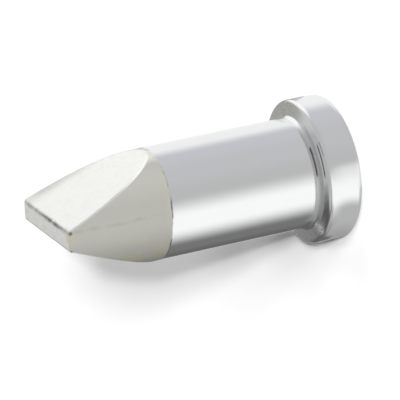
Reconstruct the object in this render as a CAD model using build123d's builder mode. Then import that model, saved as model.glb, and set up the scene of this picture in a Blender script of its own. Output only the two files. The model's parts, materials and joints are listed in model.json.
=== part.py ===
from build123d import *
import math
import os

# A soldering iron tip, turned and milled from one bar: a hollow barrel with a collar at
# its back end and a two-sided chisel at its front end. Sizes are in millimetres.
# The tip stands on the collar's rear face at Z = 0. Its axis is +Z, and the chisel's
# working edge runs along X.

# Bore that the heater plugs into, open at the rear face
bore_diameter = 6.0
bore_setback = 1.5
drill_point_angle = 118.0
mouth_chamfer = 0.3

# Barrel, from the rear face to where the chisel's facets begin
barrel_wall = 1.0
shank_length = 14.55

# Collar that the iron's sleeve nut pulls against. Its front face is a shallow cone, so the
# collar is thickest beside the barrel
collar_step = 1.2
collar_thickness = 2.95
collar_cone_angle = 15.5
collar_front_round = 0.26
collar_rear_round = 0.6
collar_root_fillet = 0.3
front_face_straight_share = 0.08

# Chisel: each facet leans this far from the axis, and the sides taper a little towards the edge
edge_width = 7.5
edge_thickness = 1.45
facet_angle = 22.8
side_taper_length = 5.7
chisel_edge_round = 0.2

# Worked out from the sizes above
bore_radius = bore_diameter / 2
barrel_radius = bore_radius + barrel_wall
collar_radius = barrel_radius + collar_step
collar_rim_height = collar_thickness - collar_step * math.tan(math.radians(collar_cone_angle))
facet_length = (barrel_radius - edge_thickness / 2) / math.tan(math.radians(facet_angle))
overall_length = shank_length + facet_length
end_radius = math.hypot(edge_width / 2, edge_thickness / 2)
bore_depth = shank_length - bore_setback
point_depth = bore_radius / math.tan(math.radians(drill_point_angle / 2))

# The two rounds beside the collar's front face always leave some of it straight
widest_front_round = collar_step * (1 - front_face_straight_share) / 2
front_round = min(collar_front_round, widest_front_round)
root_fillet = min(collar_root_fillet, widest_front_round)


def leans_forward(face):
    """Tell a milled facet, which faces outwards and forwards, from the flat ends."""
    return 0 < face.normal_at().Z < 1 - 1e-6


with BuildPart() as soldering_tip:
    # The turned blank: collar, barrel and the slight taper at the chisel's sides
    with BuildSketch(Plane.XZ) as blank_profile:
        with BuildLine():
            Polyline(
                (0, 0),
                (collar_radius, 0),
                (collar_radius, collar_rim_height),
                (barrel_radius, collar_thickness),
                (barrel_radius, overall_length - side_taper_length),
                (end_radius, overall_length),
                (0, overall_length),
                close=True,
            )
        make_face()
        outer_corners = blank_profile.vertices().group_by(Axis.X)[-1].sort_by(Axis.Y)
        fillet(outer_corners[0], radius=collar_rear_round)
        fillet(outer_corners[1], radius=front_round)
        root_corner = blank_profile.vertices().sort_by_distance((barrel_radius, collar_thickness))[0]
        fillet(root_corner, radius=root_fillet)
    revolve(axis=Axis.Z)

    # The drilled bore, with the cone that the drill's point leaves and a chamfered mouth
    with BuildSketch(Plane.XZ):
        with BuildLine():
            Polyline(
                (0, 0),
                (bore_radius + mouth_chamfer, 0),
                (bore_radius, mouth_chamfer),
                (bore_radius, bore_depth),
                (0, bore_depth + point_depth),
                close=True,
            )
        make_face()
    revolve(axis=Axis.Z, mode=Mode.SUBTRACT)

    # The two milled facets: the stock outside each one is cut away across the full width
    with BuildSketch(Plane.YZ):
        with BuildLine():
            Polyline(
                (barrel_radius, shank_length),
                (edge_thickness / 2, overall_length),
                (collar_radius, overall_length),
                (collar_radius, shank_length),
                close=True,
            )
        make_face()
        mirror(about=Plane.YZ)
    extrude(amount=collar_radius, both=True, mode=Mode.SUBTRACT)

    # Plating and solder leave every edge of the facets and of the end face softly rounded
    facets = soldering_tip.faces().filter_by(GeomType.PLANE).filter_by(leans_forward)
    end_face = soldering_tip.faces().sort_by(Axis.Z)[-1]
    chisel_edges = ShapeList(set(facets.edges()) | set(end_face.edges()))
    fillet(chisel_edges, radius=chisel_edge_round)

soldering_tip.part.label = "soldering_tip"

os.makedirs("parts", exist_ok=True)
export_step(soldering_tip.part, "parts/soldering_tip.step")
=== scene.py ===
"""A soldering iron tip standing on its collar: a chrome-plated barrel and a tinned chisel.

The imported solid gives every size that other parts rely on. This script turns and mills the
same shape as a fine mesh, gives it its plated and tinned finishes, and sets up the studio.
Lengths are in millimetres until a mesh is finished, and in metres after that.
"""

import json
import logging
import math
from dataclasses import dataclass
from enum import Enum

import bmesh
import bpy
from mathutils import Matrix, Vector, noise


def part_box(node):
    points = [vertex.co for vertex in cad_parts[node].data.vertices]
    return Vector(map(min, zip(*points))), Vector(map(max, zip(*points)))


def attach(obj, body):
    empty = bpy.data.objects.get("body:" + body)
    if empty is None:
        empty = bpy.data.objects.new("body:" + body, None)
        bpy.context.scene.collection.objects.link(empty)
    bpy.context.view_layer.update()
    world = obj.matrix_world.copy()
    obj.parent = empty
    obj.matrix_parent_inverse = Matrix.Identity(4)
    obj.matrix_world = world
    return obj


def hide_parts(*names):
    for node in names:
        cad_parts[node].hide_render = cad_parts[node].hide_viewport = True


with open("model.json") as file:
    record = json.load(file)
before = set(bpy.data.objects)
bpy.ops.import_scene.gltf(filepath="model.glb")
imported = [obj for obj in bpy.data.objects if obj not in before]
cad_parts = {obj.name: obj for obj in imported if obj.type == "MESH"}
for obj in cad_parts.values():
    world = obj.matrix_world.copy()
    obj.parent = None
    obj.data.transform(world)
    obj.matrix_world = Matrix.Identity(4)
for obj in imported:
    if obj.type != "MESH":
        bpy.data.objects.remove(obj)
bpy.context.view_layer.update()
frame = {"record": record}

MM = 0.001
IMAGE_SIZE = 400
Colour = tuple[float, float, float]
Triple = tuple[float, float, float]
Point = tuple[float, float]
Span = tuple[float, float]
UNSTRETCHED: Triple = (1.0, 1.0, 1.0)

logging.basicConfig(level=logging.INFO, format="%(message)s")
log = logging.getLogger("soldering_tip")


def mount(name: str) -> dict:
    """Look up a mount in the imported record, with its place in metres and its sizes in millimetres."""
    return next(m for m in frame["record"]["mounts"] if m["name"] == name)


def smooth_minimum(a: float, b: float, blend: float) -> float:
    """Take the smaller of two lengths, rounded off where they differ by less than the blend."""
    overlap = max(blend - abs(a - b), 0.0)
    return min(a, b) - overlap * overlap / (4 * blend)


def ramp(value: float, low: float, high: float) -> float:
    """Rise smoothly from 0 at low to 1 at high."""
    t = min(max((value - low) / (high - low), 0.0), 1.0)
    return t * t * (3 - 2 * t)


def direction(bearing: float, elevation: float) -> Vector:
    """Point away from the tip at a bearing from +X and an elevation, both in degrees."""
    turn, lift = math.radians(bearing), math.radians(elevation)
    flat = Vector((math.cos(turn), math.sin(turn), 0.0))
    return flat * math.cos(lift) + Vector((0.0, 0.0, math.sin(lift)))


def add_object(name: str, made: bmesh.types.BMesh) -> bpy.types.Object:
    """Put a finished mesh, in metres, into the scene."""
    mesh = bpy.data.meshes.new(name)
    made.to_mesh(mesh)
    made.free()
    piece = bpy.data.objects.new(name, mesh)
    bpy.context.collection.objects.link(piece)
    return piece


class Profile:
    """An outline in the half plane of radius and height, which grows point by point."""

    HOLD = 0.03

    def __init__(self, start: Point) -> None:
        """Begin the outline at a point."""
        self.points: list[Point] = [start]

    def line(self, end: Point, rings: int = 0) -> "Profile":
        """Go straight to a point, with a ring held close to each end to keep the shading true.

        Args:
            end: where the line ends, as radius and height.
            rings: how many more rings divide the line evenly.

        Returns:
            The outline itself, for the next call.
        """
        start = Vector(self.points[-1])
        run = Vector(end) - start
        shares = [(i + 1) / (rings + 1) for i in range(rings)]
        if run.length > 3 * self.HOLD:
            hold = self.HOLD / run.length
            shares = [hold, *[s for s in shares if 2 * hold < s < 1 - 2 * hold], 1 - hold]
        self.points += [tuple(start + run * s) for s in shares]
        self.points.append(end)
        return self

    def arc(self, centre: Point, radius: float, begin: float, end: float, steps: int) -> "Profile":
        """Go round an arc.

        Args:
            centre: the arc's centre, as radius and height.
            radius: the arc's own radius.
            begin: the angle at which it begins, in degrees from the outward direction.
            end: the angle at which it ends.
            steps: how many straight steps make it.

        Returns:
            The outline itself, for the next call.
        """
        for i in range(steps + 1):
            angle = math.radians(begin + (end - begin) * i / steps)
            point = (centre[0] + radius * math.cos(angle), centre[1] + radius * math.sin(angle))
            if (Vector(point) - Vector(self.points[-1])).length > 1e-6:
                self.points.append(point)
        return self


@dataclass(frozen=True)
class Texture:
    """A noise texture: its features in a millimetre, its finer layers and how strong they are.

    The point is stretched along each axis before that. As a pattern the texture fades in between
    two values, and as a swing it moves to both sides by up to half of an amount.
    """

    scale: float
    detail: float
    roughness: float = 0.5
    stretch: Triple = UNSTRETCHED
    fade: Span = (0.0, 1.0)
    amount: float = 1.0


@dataclass(frozen=True)
class Side:
    """A stretch round the axis that a mark keeps to.

    Its turn is the angle in degrees from the side that the photograph faces. The mark fades in
    between two cosines of the angle from there.
    """

    turn: float
    begins: float
    full: float


@dataclass(frozen=True)
class DarkLine:
    """A dark line round one side of the barrel's foot, by its distance from there."""

    away: float
    half_width: float
    side: Side
    share: float = 1.0


@dataclass(frozen=True)
class Dot:
    """A round mark near the working edge: where it is, how deep below the end face, and its size."""

    x: float
    y: float
    depth: float
    size: float
    share: float

    def place(self, top: float) -> Triple:
        """Find its centre, given the end face's height."""
        return self.x, self.y, top - self.depth


class Socket:
    """A node's output that can be used in a Python expression."""

    def __init__(self, graph: "Graph", output: bpy.types.NodeSocket) -> None:
        """Wrap an output of a graph's node."""
        self.graph = graph
        self.output = output

    def math(self, operation: str, *others: "Socket | float") -> "Socket":
        """Add a Math node with this value first, and give its result."""
        return self.graph.maths(operation, self, *others)

    def __add__(self, other: "Socket | float") -> "Socket":
        """Add another value."""
        return self.math("ADD", other)

    def __radd__(self, other: float) -> "Socket":
        """Add this to a number."""
        return self.math("ADD", other)

    def __sub__(self, other: "Socket | float") -> "Socket":
        """Take another value away."""
        return self.math("SUBTRACT", other)

    def __rsub__(self, other: float) -> "Socket":
        """Take this away from a number."""
        return self.graph.maths("SUBTRACT", other, self)

    def __mul__(self, other: "Socket | float") -> "Socket":
        """Multiply by another value."""
        return self.math("MULTIPLY", other)

    def __rmul__(self, other: float) -> "Socket":
        """Multiply a number by this."""
        return self.math("MULTIPLY", other)

    def __truediv__(self, other: "Socket | float") -> "Socket":
        """Divide by another value."""
        return self.math("DIVIDE", other)

    def __abs__(self) -> "Socket":
        """Drop the sign."""
        return self.math("ABSOLUTE")

    def ramp(self, low: float, high: float) -> "Socket":
        """Rise smoothly from 0 at low to 1 at high, or fall where low is above high."""
        span = {"Value": self, "From Min": low, "From Max": high}
        return self.graph.node("MapRange", span, interpolation_type="SMOOTHSTEP", clamp=True)

    def near(self, value: float, width: float) -> "Socket":
        """Stand at 1 where this equals a value, and fall smoothly to 0 a width away."""
        return abs(self - value).ramp(width, 0.0)

    def within(self, low: float, high: float, soft: float) -> "Socket":
        """Stand at 1 between two values, and fall smoothly to 0 over a soft step outside them."""
        return self.ramp(low - soft, low) * self.ramp(high + soft, high)


class Graph:
    """The nodes of one material or of the world."""

    def __init__(self, tree: bpy.types.NodeTree) -> None:
        """Empty a node tree and take it over."""
        tree.nodes.clear()
        self.tree = tree

    def node(
        self, kind: str, inputs: dict | None = None, output: int | str = 0, **settings: str | bool
    ) -> Socket:
        """Add a node.

        Args:
            kind: the node's Blender type, after the words ShaderNode.
            inputs: a value or a socket for each input, by the input's name or number.
            output: the output that is wanted.
            settings: its own settings, such as an operation, which are made first.

        Returns:
            That output, or a wrapper of nothing for a node that has none.
        """
        made = self.tree.nodes.new(f"ShaderNode{kind}")
        for name, value in settings.items():
            setattr(made, name, value)
        for name, value in (inputs or {}).items():
            if isinstance(value, Socket):
                self.tree.links.new(value.output, made.inputs[name])
            else:
                made.inputs[name].default_value = value
        return Socket(self, made.outputs[output] if made.outputs else None)

    def maths(self, operation: str, *values: Socket | float) -> Socket:
        """Add a Math node with its values in order, and give its result."""
        return self.node("Math", dict(enumerate(values)), operation=operation)

    def blend(self, share: Socket, first: Socket | Colour, second: Socket | Colour) -> Socket:
        """Mix two colours, by the share of the second that there is, from 0 to 1."""
        ends = [c if isinstance(c, Socket) else (*c, 1.0) for c in (first, second)]
        return self.node("Mix", {0: share, 6: ends[0], 7: ends[1]}, output=2, data_type="RGBA")

    def parts(self, vector: Socket) -> tuple[Socket, ...]:
        """Split a vector into its x, y and z."""
        split = self.node("SeparateXYZ", {0: vector}).output.node
        return tuple(Socket(self, output) for output in split.outputs)


def new_material(name: str) -> tuple[bpy.types.Material, Graph]:
    """Make a material with an empty graph."""
    material = bpy.data.materials.new(name)
    material.use_nodes = True
    return material, Graph(material.node_tree)


@dataclass(frozen=True)
class Coat:
    """A finish at the point that is shaded, with its relief in millimetres."""

    colour: Socket
    roughness: Socket
    relief: Socket


class SurfacePoint:
    """The point that is shaded, in millimetres and in the piece's own coordinates."""

    def __init__(self, graph: Graph, front: float) -> None:
        """Read the point, and turn sides from a front bearing in degrees from +X."""
        metres = graph.node("TexCoord", output="Object")
        self.place = graph.node("VectorMath", {0: metres, "Scale": 1 / MM}, operation="SCALE")
        self.x, self.y, self.z = graph.parts(self.place)
        self.radius = graph.maths("SQRT", self.x * self.x + self.y * self.y)
        self.graph, self.front = graph, front

    def noise(self, texture: Texture) -> Socket:
        """Read a texture at the point, as a value from 0 to 1 around 0.5."""
        place = self.place
        if texture.stretch != UNSTRETCHED:
            place = self.graph.node("Mapping", {"Vector": place, "Scale": texture.stretch})
        values = {"Scale": texture.scale, "Detail": texture.detail, "Roughness": texture.roughness}
        return self.graph.node("TexNoise", {"Vector": place, **values})

    def pattern(self, texture: Texture) -> Socket:
        """Read a texture as a pattern, from 0 to 1."""
        return self.noise(texture).ramp(*texture.fade)

    def swing(self, texture: Texture) -> Socket:
        """Read a texture as a swing to both sides of 0."""
        return (self.noise(texture) - 0.5) * texture.amount

    def spot(self, centre: Triple, size: float) -> Socket:
        """Stand at 1 at a centre, and fall smoothly to 0 at a distance from it."""
        ends = {0: self.place, 1: centre}
        return self.graph.node("VectorMath", ends, "Value", operation="DISTANCE").ramp(size, 0.0)

    def along(self, bearing: float) -> Socket:
        """Measure how far the point lies from the axis towards a bearing."""
        angle = math.radians(bearing)
        return self.x * math.cos(angle) + self.y * math.sin(angle)

    def on(self, side: Side) -> Socket:
        """Tell how far a mark that keeps to one side has faded in, from 0 to 1."""
        cosine = self.along(self.front + side.turn) / self.radius.math("MAXIMUM", 0.001)
        return cosine.ramp(side.begins, side.full)

    def lined(self, distance: Socket, line: DarkLine) -> Socket:
        """Tell how dark a line is at the point, given its distance from the barrel's foot."""
        return distance.near(line.away, line.half_width) * self.on(line.side) * line.share


@dataclass(frozen=True)
class Chrome:
    """Bright plating on the barrel and the collar, with the dust and the dark lines on it, and painted
    shade at the barrel's foot and in the corner there.

    Heights and reaches are measured up and out from where the collar meets the barrel.
    """

    colour: Colour = (0.895, 0.9, 0.905)
    roughness: float = 0.07
    ripple: Texture = Texture(0.55, 1.0)
    ripple_mm: float = 0.0048
    turning: Texture = Texture(1.0, 2.0, stretch=(0.25, 0.25, 5.0))
    turning_mm: float = 0.00021
    haze: Texture = Texture(0.7, 3.0, fade=(0.35, 0.75))
    haze_roughness: float = 0.05
    foot_heights: Span = (-0.16, 0.31)
    foot_reach: Span = (0.52, 0.4)
    foot_soft: float = 0.07
    # painted shade: the chrome in the fillet at the barrel's foot is darkened on one side; the roughness
    # added there is a real duller finish
    foot_shade_colour: Colour = (0.62, 0.62, 0.63)
    dull_and_shade_side: Side = Side(-5.0, 0.45, 0.8)
    foot_shade_share: float = 0.7
    dull_roughness: float = 0.5
    face_heights: Span = (-0.35, 0.02)
    face_reach: Span = (0.1, 0.3)
    face_soft: float = 0.04
    dust_colour: Colour = (0.46, 0.455, 0.42)
    dust_side: Side = Side(5.0, 0.7, 0.3)
    dust_share: float = 0.5
    dust_roughness: float = 0.25
    speckle: Texture = Texture(7.0, 3.0, 0.7, fade=(0.44, 0.66))
    # colour of the dark lines at the barrel's foot and on the collar face, and of the painted shade spot in
    # the corner
    dark_line_colour: Colour = (0.07, 0.07, 0.075)
    wander: Texture = Texture(2.0, 1.0, amount=0.04)
    root_reach: Span = (0.14, 0.08)
    root_line: DarkLine = DarkLine(0.1, 0.1, Side(6.5, 0.955, 0.975))
    groove: DarkLine = DarkLine(0.68, 0.11, Side(5.0, 0.956, 0.98))
    rim_line: DarkLine = DarkLine(0.96, 0.07, Side(14.5, 0.991, 0.997), 0.6)
    # painted shade: a dark spot in the corner between the barrel and the collar
    corner_turn: float = 85.0
    corner_out: float = 0.06
    corner_up: float = 0.02
    corner_size: float = 0.26
    corner_shade_share: float = 0.75


@dataclass(frozen=True)
class Tinning:
    """The dull solder coat on the chisel, with the stains on it, and painted light: a lit colour on the
    facets and the end face, and a shaded colour on the sides.

    A span of places holds where a change begins and where it is complete.
    """

    # painted light: one solder coat, given a lit colour on the facets and the end face and a shaded colour
    # on the sides
    lit_facet_colour: Colour = (0.72, 0.72, 0.7)
    facet_step: Span = (0.1, 0.03)
    shaded_side_colour: Colour = (0.311, 0.307, 0.284)
    # painted light: the sides grow paler towards the facets
    painted_light_side_colour: Colour = (0.367, 0.362, 0.34)
    painted_light_side: Span = (1.3, 3.5)
    painted_light_depth: Span = (0.5, 3.5)
    # painted light: where the sides lie 3.6 to 4 mm from the chisel's middle plane, they take most of the
    # facets' lit colour
    lit_shoulder: Span = (3.6, 3.98)
    lit_shoulder_share: float = 0.85
    lit_end_colour: Colour = (0.755, 0.755, 0.735)
    end_step: Span = (0.06, 0.02)
    stain_colour: Colour = (0.36, 0.35, 0.24)
    streak_colour: Colour = (0.2, 0.195, 0.19)
    amber_colour: Colour = (0.37, 0.33, 0.22)
    flux_colour: Colour = (0.06, 0.06, 0.05)
    metal_share: float = 0.3
    roughness: float = 0.42
    cloud: Texture = Texture(0.8, 4.0, 0.6)
    cloud_fade: Span = (0.4, 0.8)
    cloud_share: float = 0.12
    blotch_fade: Span = (0.44, 0.58)
    blotch_x: Span = (-0.5, 1.5)
    blotch_y: Span = (-0.3, -2.6)
    blotch_z: Span = (18.8, 17.4)
    blotch_share: float = 0.45
    mottle: Texture = Texture(3.2, 4.0, 0.6)
    mottle_fade: Span = (0.48, 0.78)
    mottle_share: float = 0.2
    mottle_roughness: float = 0.25
    mottle_mm: float = 0.0044
    grain: Texture = Texture(11.0, 2.0, 0.6)
    grain_roughness: float = 0.12
    grain_mm: float = 0.0012
    end_lines: Texture = Texture(1.0, 4.0, 0.7, stretch=(7.0, 2.2, 1.0), fade=(0.45, 0.75))
    end_lines_share: float = 0.22
    streak_place: float = 0.66
    streak_width: float = 0.24
    streak_x: Span = (1.0, 2.0)
    streak_share: float = 0.3
    streak_wander: Texture = Texture(0.6, 2.0, amount=0.5)
    streak_patches: Texture = Texture(1.4, 3.0, fade=(0.35, 0.6))


@dataclass(frozen=True)
class FacetEdgeShadeAndScuffs:
    """The painted shade along the upper facet's long edges, and its scuffs, in spans as the tinning's are.
    """

    upper_y: Span = (0.0, 0.5)
    far_x: Span = (-2.1, -3.7)
    far_z: Span = (15.0, 17.5)
    far_end_z: Span = (21.0, 22.2)
    near_x: Span = (-1.0, 1.0)
    near_z: Span = (16.0, 18.5)
    near_insets: tuple[tuple[Span, float], ...] = (((0.26, 0.0), 0.3), ((0.12, 0.02), 0.5))
    scuff_z: Span = (16.5, 19.0)
    scuff_grain: Span = (0.35, 0.62)
    scuff_cloud: Span = (0.4, 0.6)
    scuff_share: float = 0.14


@dataclass(frozen=True)
class EndMarks:
    """Burnt and yellowed flux at the working edge.

    A line and a swell are given by their place and width, and the corner and the depths by where
    they begin and where they are complete. Depths are measured from the end face.
    """

    burnt_edge: Span = (0.62, 0.24)
    burnt_depth: Span = (0.28, 0.12)
    swell: Span = (0.8, 2.2)
    patches: Texture = Texture(1.0, 3.0, stretch=(1.8, 1.0, 1.0), fade=(0.34, 0.6))
    ragged: Texture = Texture(4.0, 3.0, 0.7, amount=0.22)
    yellow_line: Span = (3.66, 0.16)
    yellow_corner: Span = (2.9, 3.6)
    yellow_depth: Span = (0.25, 0.08)
    amber: Dot = Dot(3.75, 0.2, 0.22, 0.5, 0.45)
    burnt_dots: tuple[Dot, ...] = (Dot(3.77, 0.62, 0.2, 0.24, 0.85), Dot(3.74, -0.72, 0.2, 0.15, 0.85))


@dataclass(frozen=True)
class Seam:
    """The dark line of burnt flux where the tinning ends, and the film on the tinning beside it."""

    waver: Texture = Texture(1.6, 3.0, amount=0.12)
    soft_step: float = 0.03
    width: float = 0.1
    breaks: Texture = Texture(2.3, 2.0, fade=(0.42, 0.6))
    thinnest_share: float = 0.15
    broken_share: float = 0.4
    crust_share: float = 0.6
    flux_share: float = 0.8
    added_roughness: float = 0.2
    film_height: float = 0.12
    film_width: float = 0.5
    film_share: float = 0.3
    upper_side: Side = Side(90.0, 0.35, 0.72)
    bright_gap: Side = Side(-31.0, 0.975, 0.992)
    crusts: tuple[Side, ...] = (Side(-11.0, 0.98, 0.994), Side(-55.0, 0.965, 0.985))


@dataclass(frozen=True)
class BoreWall:
    """The dull inside of the bore, where the heater slides.

    It fades in between two distances outside the bore and two heights above its straight part.
    """

    colour: Colour = (0.42, 0.4, 0.38)
    roughness: float = 0.42
    fade_outside: Span = (0.12, 0.06)
    fade_above: Span = (2.2, 2.0)


@dataclass
class TipBody:
    """The tip itself: collar, barrel, chisel and heater bore, turned and milled as one piece.

    Heights are measured from the collar's rear face, and the chisel's edge runs along X.
    """

    overall_length: float
    collar_radius: float
    barrel_radius: float
    bore_radius: float
    bore_depth: float
    mouth_chamfer: float = 0.3
    drill_point_angle: float = 118.0
    collar_thickness: float = 2.95
    collar_cone_angle: float = 15.5
    collar_front_round: float = 0.26
    collar_roll_angle: float = 9.5
    collar_roll_width: float = 0.2
    collar_rear_round: float = 0.6
    collar_root_fillet: float = 0.3
    shank_length: float = 14.55
    edge_width: float = 7.5
    edge_thickness: float = 1.45
    facet_angle: float = 22.8
    side_taper_length: float = 5.7
    end_round: float = 0.2
    soft_edge: float = 0.12
    soft_root: float = 0.05
    solder_unevenness: float = 0.016
    tin_line: float = 14.34
    tin_line_tilt: float = 0.045
    tin_line_bearing: float = -59.0
    solder_rise: Span = (-0.05, 0.2)
    swell_scale: float = 0.9
    swell_fractal: tuple[float, float, int] = (0.8, 2.1, 3)
    photo_bearing: float = 22.9
    turns: int = 360
    ring_pitch: float = 0.08
    end_steps: int = 8
    sharp_angle: float = 32.0
    chrome: Chrome = Chrome()
    tinning: Tinning = Tinning()
    edge_shade_and_scuffs: FacetEdgeShadeAndScuffs = FacetEdgeShadeAndScuffs()
    end_marks: EndMarks = EndMarks()
    seam: Seam = Seam()
    bore_wall: BoreWall = BoreWall()

    @classmethod
    def from_frame(cls) -> "TipBody":
        """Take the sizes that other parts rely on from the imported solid.

        Returns:
            A body that fits the solid.
        """
        low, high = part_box("soldering_tip")
        bore, barrel = mount("heater_bore"), mount("barrel")
        return cls(
            overall_length=(high[2] - low[2]) / MM,
            collar_radius=(high[0] - low[0]) / MM / 2,
            barrel_radius=barrel["dims"]["r_mm"],
            bore_radius=bore["dims"]["r_mm"],
            bore_depth=bore["dims"]["length_mm"] + bore["pos_m"][2] / MM,
        )

    @property
    def end_radius(self) -> float:
        """The blank's radius at the working end, which reaches the end face's corners."""
        return math.hypot(self.edge_width / 2, self.edge_thickness / 2)

    def end_inset(self, height: float) -> float:
        """How far the round at the working end draws the surface in at a height."""
        rise = max(height - (self.overall_length - self.end_round), 0.0)
        return self.end_round - math.sqrt(max(self.end_round**2 - rise**2, 0.0))

    def blank_radius(self, height: float) -> float:
        """The turned blank's radius at a height on the barrel or the chisel."""
        taper = max(height - (self.overall_length - self.side_taper_length), 0.0)
        drop = (self.barrel_radius - self.end_radius) * taper / self.side_taper_length
        return self.barrel_radius - drop - self.end_inset(height)

    def facet_half(self, height: float) -> float:
        """Half the chisel's thickness at a height."""
        rise = (self.overall_length - height) * math.tan(math.radians(self.facet_angle))
        return self.edge_thickness / 2 + rise - self.end_inset(height)

    def outline(self) -> list[Point]:
        """Draw the section that is turned, from the bore's point out and up to the end face.

        Returns:
            Its points as radius and height.
        """
        point_depth = self.bore_radius / math.tan(math.radians(self.drill_point_angle / 2))
        rear, front = self.collar_rear_round, self.collar_front_round
        root, top = self.collar_root_fillet, self.overall_length
        slope = math.radians(self.collar_cone_angle)
        steep = 90 - self.collar_cone_angle
        rolled = steep - self.collar_roll_angle
        roll_in, roll_out = (Vector((math.cos(a), math.sin(a))) for a in map(math.radians, (steep, rolled)))
        roll = self.collar_roll_width / (roll_out.x - roll_in.x)
        roll_start = self.collar_radius - front * (1 - roll_out.x) - self.collar_roll_width
        roll_height = self.collar_thickness - (roll_start - self.barrel_radius) * math.tan(slope)
        roll_centre = Vector((roll_start, roll_height)) - roll_in * roll
        rim = roll_centre.y + (roll - front) * roll_out.y
        foot = self.collar_thickness - root * math.tan(slope) + root / math.cos(slope)
        cone_start = self.barrel_radius + root * (1 - math.sin(slope))
        section = Profile((0.0, self.bore_depth + point_depth))
        section.line((self.bore_radius, self.bore_depth), rings=6)
        section.line((self.bore_radius, self.mouth_chamfer), rings=8)
        section.line((self.bore_radius + self.mouth_chamfer, 0.0), rings=1)
        section.line((self.collar_radius - rear, 0.0), rings=3)
        section.arc((self.collar_radius - rear, rear), rear, -90, 0, 14)
        section.line((self.collar_radius, rim), rings=5)
        section.arc((self.collar_radius - front, rim), front, 0, rolled, 12)
        section.arc(tuple(roll_centre), roll, rolled, steep, 5)
        section.line((cone_start, foot - root * math.cos(slope)), rings=4)
        section.arc((self.barrel_radius + root, foot), root, 180 + steep, 180, 12)
        section.line((self.barrel_radius, self.shank_length - 1.0), rings=24)
        ring_count = round((top - self.end_round - section.points[-1][1]) / self.ring_pitch)
        step = (top - self.end_round - section.points[-1][1]) / ring_count
        start = section.points[-1][1]
        for i in range(1, ring_count + 1):
            section.points.append((self.blank_radius(start + i * step), start + i * step))
        corner = self.blank_radius(top - self.end_round)
        for i in range(1, self.end_steps + 1):
            angle = math.radians(90 * i / self.end_steps)
            inset, drop = self.end_round * (1 - math.cos(angle)), self.end_round * (1 - math.sin(angle))
            section.points.append((corner - inset, top - drop))
        section.line((0.0, top), rings=16)
        return section.points

    def milled(self, place: Vector) -> Vector:
        """Move a point of the turned blank onto the milled chisel.

        Args:
            place: the point on the blank.

        Returns:
            The point on the finished form: one outside a facet lies on it, with a soft edge.
        """
        radius = math.hypot(place.x, place.y)
        in_bore = radius < self.bore_radius + 0.01 and place.z < self.overall_length - 0.01
        if place.z < self.shank_length - 0.5 or radius < 1e-6 or in_bore:
            return place
        share = min(radius / self.blank_radius(place.z), 1.0)
        full = abs(place.y) / share
        side = (place.x / radius) ** 2
        blend = self.soft_root + (self.soft_edge - self.soft_root) * side
        half = smooth_minimum(full, self.facet_half(place.z), blend)
        return Vector((place.x, math.copysign(half * share, place.y), place.z))

    def tinned_share(self, place: Vector) -> float:
        """How far a point lies into the tinned part, from 0 to 1 over a soft step."""
        bearing = math.radians(self.tin_line_bearing)
        lean = self.tin_line_tilt * (place.x * math.cos(bearing) + place.y * math.sin(bearing))
        return ramp(place.z - self.tin_line - lean, *self.solder_rise)

    def build(self) -> bpy.types.Object:
        """Turn, mill and roughen the body, and make it the solid's visible piece.

        Returns:
            The finished object.
        """
        made = bmesh.new()
        corners = [made.verts.new((radius, 0.0, height)) for radius, height in self.outline()]
        edges = [made.edges.new(pair) for pair in zip(corners, corners[1:])]
        about = {"cent": (0, 0, 0), "axis": (0, 0, 1), "angle": math.tau, "steps": self.turns}
        bmesh.ops.spin(made, geom=[*corners, *edges], use_merge=True, use_duplicate=False, **about)
        bmesh.ops.remove_doubles(made, verts=made.verts, dist=1e-5)
        for corner in made.verts:
            corner.co = self.milled(corner.co)
        bmesh.ops.recalc_face_normals(made, faces=made.faces)
        self.add_solder_relief(made)
        sharp = math.radians(self.sharp_angle)
        for face in made.faces:
            face.smooth = True
        for edge in made.edges:
            edge.smooth = len(edge.link_faces) == 2 and edge.calc_face_angle() < sharp
        bmesh.ops.scale(made, vec=(MM, MM, MM), verts=made.verts)
        body = add_object("tip_body", made)
        body.data.materials.append(self.finish())
        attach(body, "root")
        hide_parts("soldering_tip")
        return body

    def add_solder_relief(self, made: bmesh.types.BMesh) -> None:
        """Let the solder coat sag and swell a little, always inwards from the milled form.

        Args:
            made: the body's mesh, in millimetres.
        """
        made.normal_update()
        moves = []
        for corner in made.verts:
            share = self.tinned_share(corner.co)
            in_bore = corner.co.xy.length < self.bore_radius and corner.co.z < self.bore_depth + 2
            if share <= 0 or in_bore:
                continue
            swell = noise.fractal(corner.co * self.swell_scale, *self.swell_fractal) * 0.5 + 0.5
            moves.append((corner, corner.normal * (-self.solder_unevenness * share * swell)))
        for corner, move in moves:
            corner.co += move

    def finish(self) -> bpy.types.Material:
        """Mix the chrome, the tinning, the seam between them and the bore's wall.

        Returns:
            The material.
        """
        material, graph = new_material("plated_metal")
        at = SurfacePoint(graph, self.photo_bearing)
        seam, wall = self.seam, self.bore_wall
        waver = at.swing(seam.waver)
        lean = at.along(self.tin_line_bearing) * self.tin_line_tilt
        height = at.z - self.tin_line - lean + waver
        tinned = height.ramp(-seam.soft_step, seam.soft_step)
        inside = (at.radius - self.bore_radius).ramp(*wall.fade_outside)
        inside = inside * (at.z - self.bore_depth).ramp(*wall.fade_above)

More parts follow.
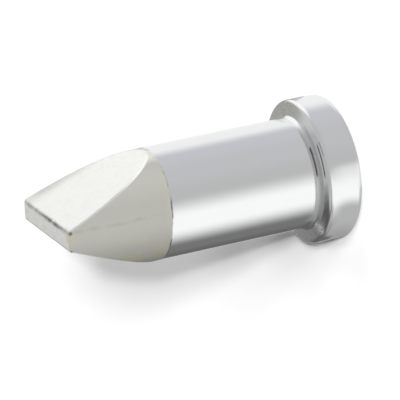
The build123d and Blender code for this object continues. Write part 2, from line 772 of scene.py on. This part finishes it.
        chrome, tin = self.chrome_coat(at), self.tin_coat(at)
        crust, film = self.seam_shares(at, height)
        colour = graph.blend(tinned, chrome.colour, tin.colour)
        colour = graph.blend(film * tinned * seam.film_share, colour, self.tinning.stain_colour)
        colour = graph.blend(crust * seam.flux_share, colour, self.tinning.flux_colour)
        colour = graph.blend(inside, colour, wall.colour)
        rough = chrome.roughness + (tin.roughness - chrome.roughness) * tinned
        rough = rough + crust * seam.added_roughness
        rough = rough + (wall.roughness - rough) * inside
        relief = chrome.relief + (tin.relief - chrome.relief) * tinned
        bump = {"Strength": 1.0, "Distance": MM, "Height": relief}
        surface = {
            "Base Color": colour,
            "Metallic": 1 - tinned * (1 - self.tinning.metal_share),
            "Roughness": rough,
            "Normal": graph.node("Bump", bump),
        }
        shader = graph.node("BsdfPrincipled", surface)
        graph.node("OutputMaterial", {"Surface": shader})
        return material

    def seam_shares(self, at: SurfacePoint, height: Socket) -> tuple[Socket, Socket]:
        """Work out how much burnt flux covers the seam, and how much of a film lies beside it.

        Args:
            at: the point that is shaded.
            height: its height above the tinning's lower end.

        Returns:
            The seam's share and the film's.
        """
        seam = self.seam
        broken = at.pattern(seam.breaks)
        crusted = sum(at.on(side) for side in seam.crusts)
        share = seam.thinnest_share + broken * seam.broken_share + crusted * seam.crust_share
        share = share * (1 - at.on(seam.upper_side) * 0.85) * (1 - at.on(seam.bright_gap) * 0.9)
        film = height.near(seam.film_height, seam.film_width) * (0.4 + broken * 0.6)
        return height.near(0.0, seam.width) * share, film

    def chrome_coat(self, at: SurfacePoint) -> Coat:
        """Work out the chrome, with the painted shade and duller finish at its foot, a painted shade spot
        in the corner, and the dust and dark lines on the collar.

        Args:
            at: the point that is shaded.

        Returns:
            The chrome at that point.
        """
        chrome, graph = self.chrome, at.graph
        out, up = at.radius - self.barrel_radius, at.z - self.collar_thickness
        foot = up.within(*chrome.foot_heights, chrome.foot_soft) * out.ramp(*chrome.foot_reach)
        # painted shade and a duller finish in the fillet at the barrel's foot, on one side only
        dull = foot * at.on(chrome.dull_and_shade_side)
        face = up.within(*chrome.face_heights, chrome.face_soft) * out.ramp(*chrome.face_reach)
        speckle = at.pattern(chrome.speckle)
        dust = face * speckle * at.on(chrome.dust_side) * chrome.dust_share
        wander = at.swing(chrome.wander)
        # dark lines along the barrel's foot, in the collar face's groove and at its rim
        dark_lines_and_corner_shade = at.lined(up + wander, chrome.root_line) * out.ramp(*chrome.root_reach)
        dark_lines_and_corner_shade = dark_lines_and_corner_shade + at.lined(out + wander, chrome.groove) * face
        dark_lines_and_corner_shade = dark_lines_and_corner_shade + at.lined(out, chrome.rim_line) * face
        # painted shade spot in the corner between the barrel and the collar
        dark_lines_and_corner_shade = dark_lines_and_corner_shade + at.spot(self.corner_shade_place(), chrome.corner_size) * chrome.corner_shade_share
        colour = graph.blend(dust, chrome.colour, chrome.dust_colour)
        # painted shade in the fillet at the barrel's foot
        colour = graph.blend(dull * chrome.foot_shade_share, colour, chrome.foot_shade_colour)
        colour = graph.blend(dark_lines_and_corner_shade, colour, chrome.dark_line_colour)
        haze = at.pattern(chrome.haze)
        rough = chrome.roughness + haze * chrome.haze_roughness
        rough = rough + dust * chrome.dust_roughness + dull * chrome.dull_roughness
        relief = at.noise(chrome.ripple) * chrome.ripple_mm
        relief = relief + at.noise(chrome.turning) * chrome.turning_mm
        return Coat(colour, rough, relief)

    def corner_shade_place(self) -> Triple:
        """Find the painted shade spot in the corner between the barrel and the collar."""
        bearing = math.radians(self.photo_bearing + self.chrome.corner_turn)
        away = self.barrel_radius + self.chrome.corner_out
        height = self.collar_thickness + self.chrome.corner_up
        return away * math.cos(bearing), away * math.sin(bearing), height

    def tin_coat(self, at: SurfacePoint) -> Coat:
        """Work out the tinning, with its painted light and shade and everything that stains it.

        Args:
            at: the point that is shaded.

        Returns:
            The tinning at that point.
        """
        tin, graph = self.tinning, at.graph
        drop = self.overall_length - at.z
        facet_half = self.edge_thickness / 2 + drop * math.tan(math.radians(self.facet_angle))
        on_facet = (facet_half - abs(at.y)).ramp(*tin.facet_step)
        on_end = drop.ramp(*tin.end_step)
        cloud, mottle, grain = (at.noise(t) for t in (tin.cloud, tin.mottle, tin.grain))

        # painted light: the sides grow paler towards the facets
        painted_light_share = abs(at.y).ramp(*tin.painted_light_side) * drop.ramp(*tin.painted_light_depth)
        colour = graph.blend(painted_light_share, tin.shaded_side_colour, tin.painted_light_side_colour)
        # painted light: the sides far from the chisel's middle plane take the facets' lit colour
        lit_shoulder = abs(at.y).ramp(*tin.lit_shoulder) * tin.lit_shoulder_share
        colour = graph.blend(lit_shoulder, colour, tin.lit_facet_colour)
        # painted light: the facets and the end face take the lit colour over the sides' shaded one
        colour = graph.blend(on_facet, colour, tin.lit_facet_colour)
        colour = graph.blend(on_end, colour, tin.lit_end_colour)
        lined = at.pattern(tin.end_lines)
        colour = graph.blend(on_end * lined * tin.end_lines_share, colour, tin.shaded_side_colour)

        low_side = at.y.ramp(*tin.blotch_y) * at.x.ramp(*tin.blotch_x) * at.z.ramp(*tin.blotch_z)
        blotch = cloud.ramp(*tin.blotch_fade) * low_side * (1 - on_facet) * tin.blotch_share
        stain = mottle.ramp(*tin.mottle_fade) * tin.mottle_share
        stain = stain + cloud.ramp(*tin.cloud_fade) * tin.cloud_share
        colour = graph.blend(stain * (1 - on_facet * 0.5) + blotch, colour, tin.stain_colour)
        wander = at.swing(tin.streak_wander)
        patchy = at.pattern(tin.streak_patches)
        streak = (at.y + wander).near(tin.streak_place, tin.streak_width) * at.x.ramp(*tin.streak_x)
        colour = graph.blend(streak * (1 - on_end) * patchy * tin.streak_share, colour, tin.streak_colour)

        edge_shade_and_scuffs = self.edge_shade_and_scuffs
        bare = (1 - grain.ramp(*edge_shade_and_scuffs.scuff_grain)) * (1 - cloud.ramp(*edge_shade_and_scuffs.scuff_cloud))
        # painted shade along the upper facet's edges, with real scuffs on it
        dark = self.facet_edge_shade(at, mottle) + bare * at.z.ramp(*edge_shade_and_scuffs.scuff_z) * edge_shade_and_scuffs.scuff_share
        colour = graph.blend(on_facet * at.y.ramp(*edge_shade_and_scuffs.upper_y) * dark, colour, tin.shaded_side_colour)
        colour = self.marked(at, colour)
        rough = tin.roughness + (mottle - 0.5) * tin.mottle_roughness + (grain - 0.5) * tin.grain_roughness
        return Coat(colour, rough, grain * tin.grain_mm + mottle * tin.mottle_mm)

    def facet_edge_shade(self, at: SurfacePoint, mottle: Socket) -> Socket:
        """Work out the painted shade along a facet's two long edges.

        Args:
            at: the point that is shaded.
            mottle: the fine unevenness of the tinning there.

        Returns:
            The painted shade's share.
        """
        edge_shade_and_scuffs = self.edge_shade_and_scuffs
        # painted shade along the far edge
        far_edge = at.x.ramp(*edge_shade_and_scuffs.far_x) * at.z.ramp(*edge_shade_and_scuffs.far_z) * (0.42 + mottle * 0.4)
        far_edge = far_edge * (1 - at.z.ramp(*edge_shade_and_scuffs.far_end_z) * 0.5)
        narrowing = (self.barrel_radius - self.end_radius) / self.side_taper_length
        tapered = (at.z - self.overall_length + self.side_taper_length).math("MAXIMUM", 0.0)
        inset = self.barrel_radius - tapered * narrowing - at.radius
        # painted shade along the near edge
        near_edge = sum(inset.ramp(*span) * share for span, share in edge_shade_and_scuffs.near_insets)
        return far_edge + near_edge * at.z.ramp(*edge_shade_and_scuffs.near_z) * at.x.ramp(*edge_shade_and_scuffs.near_x)

    def marked(self, at: SurfacePoint, colour: Socket) -> Socket:
        """Lay burnt flux along the working edge's upper side and at its near corner.

        Args:
            at: the point that is shaded.
            colour: the tinning's colour without them.

        Returns:
            The colour with them.
        """
        graph, tin, marks, top = at.graph, self.tinning, self.end_marks, self.overall_length
        drop = top - at.z
        patchy = at.pattern(marks.patches)
        ragged = at.swing(marks.ragged)
        swell = at.x.near(*marks.swell) * 0.45 + 0.55
        burnt = (at.y + ragged).near(*marks.burnt_edge) * drop.ramp(*marks.burnt_depth)
        colour = graph.blend(burnt * (patchy * 0.5 + 0.5) * swell, colour, tin.flux_colour)
        yellowed = at.x.near(*marks.yellow_line) * 0.3 + at.x.ramp(*marks.yellow_corner) * 0.13
        colour = graph.blend(yellowed * drop.ramp(*marks.yellow_depth), colour, tin.amber_colour)
        amber = at.spot(marks.amber.place(top), marks.amber.size)
        colour = graph.blend(amber * marks.amber.share, colour, tin.amber_colour)
        for dot in marks.burnt_dots:
            burnt = at.spot(dot.place(top), dot.size).ramp(0.1, 0.85)
            colour = graph.blend(burnt * dot.share, colour, tin.flux_colour)
        return colour


class Level(Enum):
    """The heights at which the cards stand, by the lowest and the highest angle of each change."""

    FLOOR_TO_LOW = (-58.0, -36.0)
    LOW_TO_HIGH = (-20.0, -12.0)
    HIGH_TO_UPPER = (34.0, 44.0)
    UPPER_TO_CEILING = (50.0, 58.0)


@dataclass(frozen=True)
class Card:
    """One of the cards round the tip, which the chrome mirrors.

    Azimuths are in degrees from the camera's side, rising anticlockwise as seen from above.
    """

    level: float
    begins: float
    full: float
    tint: Colour = (1.0, 1.0, 1.0)

    @property
    def colour(self) -> Colour:
        """The light that the card sends, as a colour."""
        return tuple(self.level * part for part in self.tint)


@dataclass(frozen=True)
class TableGlow:
    """The lit and the shaded patches of the table that the collar mirrors.

    Angles are measured as a card's are, and distances from the axis in millimetres. A span holds
    where a change begins and where it is complete, and a far band has its angles, the distances
    over which it fades in, and its share.
    """

    reach: float = 12.0
    height: float = 0.02
    rim: Span = (11.5, 8.0)
    twist: float = 0.07
    twist_start: float = 8.4
    outer_angles: Span = (-100.0, -112.0)
    outer_reach: Span = (6.6, 7.6)
    below_begins: Span = (-142.0, -128.0)
    below_ends: Span = (-37.0, -55.0)
    beside: Span = (-24.0, -9.0)
    beside_soft: float = 10.0
    beside_share: float = 0.45
    far_soft: float = 8.0
    far_bands: tuple[tuple[Span, Span, float], ...] = (
        ((112.0, 160.0), (5.6, 6.4), 0.55),
        ((119.0, 160.0), (7.2, 8.2), 0.35),
    )
    level: float = 0.365
    level_changes: tuple[tuple[Span, float], ...] = (((-110.0, -70.0), 0.125), ((-37.0, -30.0), 0.55))
    far_change: Span = (60.0, 80.0)
    far_dimming: float = 0.75


@dataclass(frozen=True)
class Sun:
    """A soft lamp, with its azimuth measured as a card's is.

    Its softness is how wide it looks in degrees, and its level is the light that it lays on
    the floor.
    """

    name: str
    elevation: float
    azimuth: float
    softness: float
    level: float

    @property
    def energy(self) -> float:
        """The lamp's strength, which makes up for the slant at which it meets the floor."""
        return self.level * math.pi / math.sin(math.radians(self.elevation))


@dataclass
class Studio:
    """Floor, mirrored cards, lamps, world and camera."""

    camera_azimuth: float = 112.89
    camera_elevation: float = 23.08
    camera_roll: float = -102.21
    camera_distance: float = 389.0
    pixels_per_mm: float = 14.185
    aim_height: float = 11.69
    aim_pixel: Point = (183.58, 196.43)
    floor_size: float = 4.0
    card_distance: float = 0.9
    floor_colour: Colour = (0.97, 0.97, 0.97)
    ambient: float = 0.045
    table: TableGlow = TableGlow()
    ceiling_colour: Colour = (0.52, 0.52, 0.52)
    window_colour: Colour = (0.44, 0.44, 0.44)
    window_height: float = 33.0
    window_soft_height: float = 4.5
    window_azimuths: Span = (-172.0, -152.0)
    window_soft: float = 8.0
    floor_cards: tuple[Card, ...] = (
        Card(0.5, -180, -180), Card(0.72, -122, -92), Card(0.86, -86, -64), Card(0.54, -40, 2),
    )
    low_cards: tuple[Card, ...] = (
        Card(0.78, -180, -180), Card(0.14, -175, -163), Card(0.19, -150, -124),
        Card(1.04, -113.5, -65), Card(0.53, -42, 0), Card(0.565, 6, 40, (0.995, 0.995, 1.02)),
        Card(0.6, 48, 92, (0.99, 0.99, 1.05)), Card(0.94, 93, 122),
    )
    high_cards: tuple[Card, ...] = (
        Card(0.33, -180, -180, (1.0, 1.0, 0.94)), Card(0.25, -176, -170),
        Card(0.13, -168, -156), Card(0.15, -150, -136), Card(0.36, -132, -112),
        Card(0.45, -105, -90), Card(1.0, -76, -54), Card(0.53, -34, -2),
        Card(0.58, 50, 78, (0.99, 0.99, 1.03)), Card(1.04, 80, 106),
        Card(0.4, 138, 158, (1.0, 1.0, 0.94)),
    )
    upper_cards: tuple[Card, ...] = (
        Card(0.4, -180, -180), Card(0.1, -178, -166), Card(0.14, -150, -130),
        Card(0.22, -118, -96), Card(0.3, -88, -68), Card(0.5, -62, -40), Card(0.6, 90, 125),
    )
    suns: tuple[Sun, ...] = (
        Sun("core_sun", 24, 3.2, 1.5, 0.215),
        Sun("low_sun", 24.5, 6, 5, 0.315),
        Sun("middle_sun", 42, 16, 12, 0.14),
        Sun("high_sun", 60, 32, 12, 0.165),
        Sun("top_sun", 72, 88, 12, 0.12),
        Sun("fill_sun", 35, -113, 60, 0.055),
    )

    @property
    def camera_bearing(self) -> float:
        """The camera's direction from the tip, in degrees from +X."""
        return self.camera_azimuth - 90

    def directions(self) -> tuple[Vector, Vector, Vector]:
        """Work out the directions to the image's right, to its top and back towards the camera."""
        back = direction(self.camera_bearing, self.camera_elevation)
        level = direction(self.camera_bearing + 90, 0)
        turned = Matrix.Rotation(math.radians(self.camera_roll), 3, back)
        return turned @ level, turned @ back.cross(level), back

    def build(self) -> None:
        """Set up everything round the tip."""
        self.add_camera()
        self.add_floor()
        self.add_cards()
        self.add_table_glow()
        self.add_suns()
        self.light_world()

    def add_camera(self) -> None:
        """Put the camera where the photograph was taken from, turned as it was held."""
        right, top, back = self.directions()
        data = bpy.data.cameras.new("photo_camera")
        data.sensor_width = 36.0
        focal_pixels = self.pixels_per_mm * self.camera_distance
        data.lens = focal_pixels / IMAGE_SIZE * data.sensor_width
        data.clip_start, data.clip_end = 0.05, 20.0
        camera = bpy.data.objects.new("photo_camera", data)
        aside = (IMAGE_SIZE / 2 - self.aim_pixel[0]) / self.pixels_per_mm
        down = (IMAGE_SIZE / 2 - self.aim_pixel[1]) / self.pixels_per_mm
        place = Vector((0, 0, self.aim_height)) + back * self.camera_distance + right * aside - top * down
        turn = Matrix((right, top, back)).transposed().to_4x4()
        camera.matrix_world = Matrix.Translation(place * MM) @ turn
        bpy.context.collection.objects.link(camera)
        bpy.context.scene.camera = camera

    def stage_object(
        self, name: str, made: bmesh.types.BMesh, material_name: str
    ) -> tuple[bpy.types.Object, Graph]:
        """Make a piece of the stage from a mesh in metres, and its material's empty graph."""
        piece = add_object(name, made)
        material, graph = new_material(material_name)
        piece.data.materials.append(material)
        return piece, graph

    def add_floor(self) -> None:
        """Lay a white floor that keeps the tip's shadow and is hidden from reflections."""
        made = bmesh.new()
        bmesh.ops.create_grid(made, x_segments=1, y_segments=1, size=self.floor_size / 2)
        floor, graph = self.stage_object("floor", made, "white_floor")
        matt = {"Base Color": (*self.floor_colour, 1.0), "Roughness": 1.0, "Specular IOR Level": 0.0}
        shader = graph.node("BsdfPrincipled", matt)
        graph.node("OutputMaterial", {"Surface": shader})
        floor.visible_glossy = False

    def add_cards(self) -> None:
        """Stand the cards round the tip, as a shell that only reflections see."""
        made = bmesh.new()
        bmesh.ops.create_uvsphere(made, u_segments=64, v_segments=32, radius=self.card_distance)
        shell, graph = self.stage_object("card_shell", made, "studio_cards")
        place = graph.node("TexCoord", output="Object")
        spin = {"Vector": place, "Rotation": (0.0, 0.0, -math.radians(self.camera_bearing))}
        turned = graph.node("Mapping", spin)
        x, y, z = graph.parts(turned)
        azimuth = graph.maths("ARCTAN2", y, x) * math.degrees(1.0)
        elevation = graph.maths("ARCSINE", z / self.card_distance) * math.degrees(1.0)
        colour = self.ring(graph, azimuth, self.floor_cards)
        for level, cards in (
            (Level.FLOOR_TO_LOW, self.low_cards),
            (Level.LOW_TO_HIGH, self.high_cards),
            (Level.HIGH_TO_UPPER, self.upper_cards),
        ):
            colour = graph.blend(elevation.ramp(*level.value), colour, self.ring(graph, azimuth, cards))
        colour = graph.blend(elevation.ramp(*Level.UPPER_TO_CEILING.value), colour, self.ceiling_colour)
        window = azimuth.within(*self.window_azimuths, self.window_soft)
        window = window * elevation.near(self.window_height, self.window_soft_height)
        colour = graph.blend(window, colour, self.window_colour)
        glow = graph.node("Emission", {"Color": colour, "Strength": 1.0})
        graph.node("OutputMaterial", {"Surface": glow})
        self.show_to_reflections_only(shell)

    def add_table_glow(self) -> None:
        """Lay the lit and the shaded patches of the table that only the collar mirrors."""
        made, table = bmesh.new(), self.table
        bmesh.ops.create_circle(made, cap_ends=True, segments=96, radius=table.reach * MM)
        bmesh.ops.translate(made, vec=(0, 0, table.height * MM), verts=made.verts)
        patch, graph = self.stage_object("table_glow", made, "lit_table")
        at = SurfacePoint(graph, self.camera_bearing)
        along, across = at.along(self.camera_bearing), at.along(self.camera_bearing + 90)
        angle = graph.maths("ARCTAN2", across, along) * math.degrees(1.0)
        turned = angle * (1 - (at.radius - table.twist_start) * table.twist)
        outer = angle.ramp(*table.outer_angles) * at.radius.ramp(*table.outer_reach)
        below = turned.ramp(*table.below_begins) * turned.ramp(*table.below_ends) * (1 - outer)
        beside = turned.within(*table.beside, table.beside_soft) * table.beside_share
        behind = sum(
            angle.within(*angles, table.far_soft) * at.radius.ramp(*reach) * share
            for angles, reach, share in table.far_bands
        )
        share = (below + beside + behind) * at.radius.ramp(*table.rim)
        level = table.level + sum(turned.ramp(*span) * rise for span, rise in table.level_changes)
        level = level - angle.ramp(*table.far_change) * table.far_dimming
        glow = graph.node("Emission", {"Color": (1.0, 1.0, 1.0, 1.0), "Strength": level})
        clear = graph.node("BsdfTransparent")
        mixed = graph.node("MixShader", {0: share, 1: clear, 2: glow})
        graph.node("OutputMaterial", {"Surface": mixed})
        self.show_to_reflections_only(patch)

    def show_to_reflections_only(self, piece: bpy.types.Object) -> None:
        """Hide a glowing piece of the stage from everything but mirrored rays."""
        piece.data.materials[0].cycles.emission_sampling = "NONE"
        piece.visible_camera = piece.visible_diffuse = piece.visible_transmission = False
        piece.visible_volume_scatter = piece.visible_shadow = False

    def ring(self, graph: Graph, azimuth: Socket, cards: tuple[Card, ...]) -> Socket:
        """Stand cards side by side round the tip, in the order of their azimuths."""
        colour: Socket | Colour = cards[0].colour
        for card in cards[1:]:
            colour = graph.blend(azimuth.ramp(card.begins, card.full), colour, card.colour)
        return colour

    def add_suns(self) -> None:
        """Hang the soft lamps that cast the tip's shadow, and a weak one that fills from behind."""
        for sun in self.suns:
            data = bpy.data.lights.new(sun.name, "SUN")
            data.angle = math.radians(sun.softness)
            data.energy = sun.energy
            towards = direction(self.camera_bearing + sun.azimuth, sun.elevation)
            turn = towards.to_track_quat("Z", "Y").to_matrix().to_4x4()
            lamp = bpy.data.objects.new(sun.name, data)
            lamp.matrix_world = Matrix.Translation(towards) @ turn
            bpy.context.collection.objects.link(lamp)
            lamp.visible_glossy = False

    def light_world(self) -> None:
        """Make the world white to the camera and to reflections, and a soft fill light."""
        world = bpy.data.worlds.new("white_world")
        bpy.context.scene.world = world
        world.use_nodes = True
        graph = Graph(world.node_tree)
        paths = graph.node("LightPath")
        outputs = paths.output.node.outputs
        seen = Socket(graph, outputs["Is Camera Ray"])
        for name in ("Is Glossy Ray", "Is Transmission Ray"):
            seen = seen.math("MAXIMUM", Socket(graph, outputs[name]))
        strength = self.ambient + seen * (1 - self.ambient)
        background = graph.node("Background", {"Color": (1, 1, 1, 1), "Strength": strength})
        graph.node("OutputWorld", {"Surface": background})


def main() -> None:
    """Build the tip and its studio."""
    bpy.context.scene.view_settings.view_transform = "Standard"
    body = TipBody.from_frame().build()
    log.info("%s: %d faces", body.name, len(body.data.polygons))
    Studio().build()


if __name__ == "__main__":
    main()
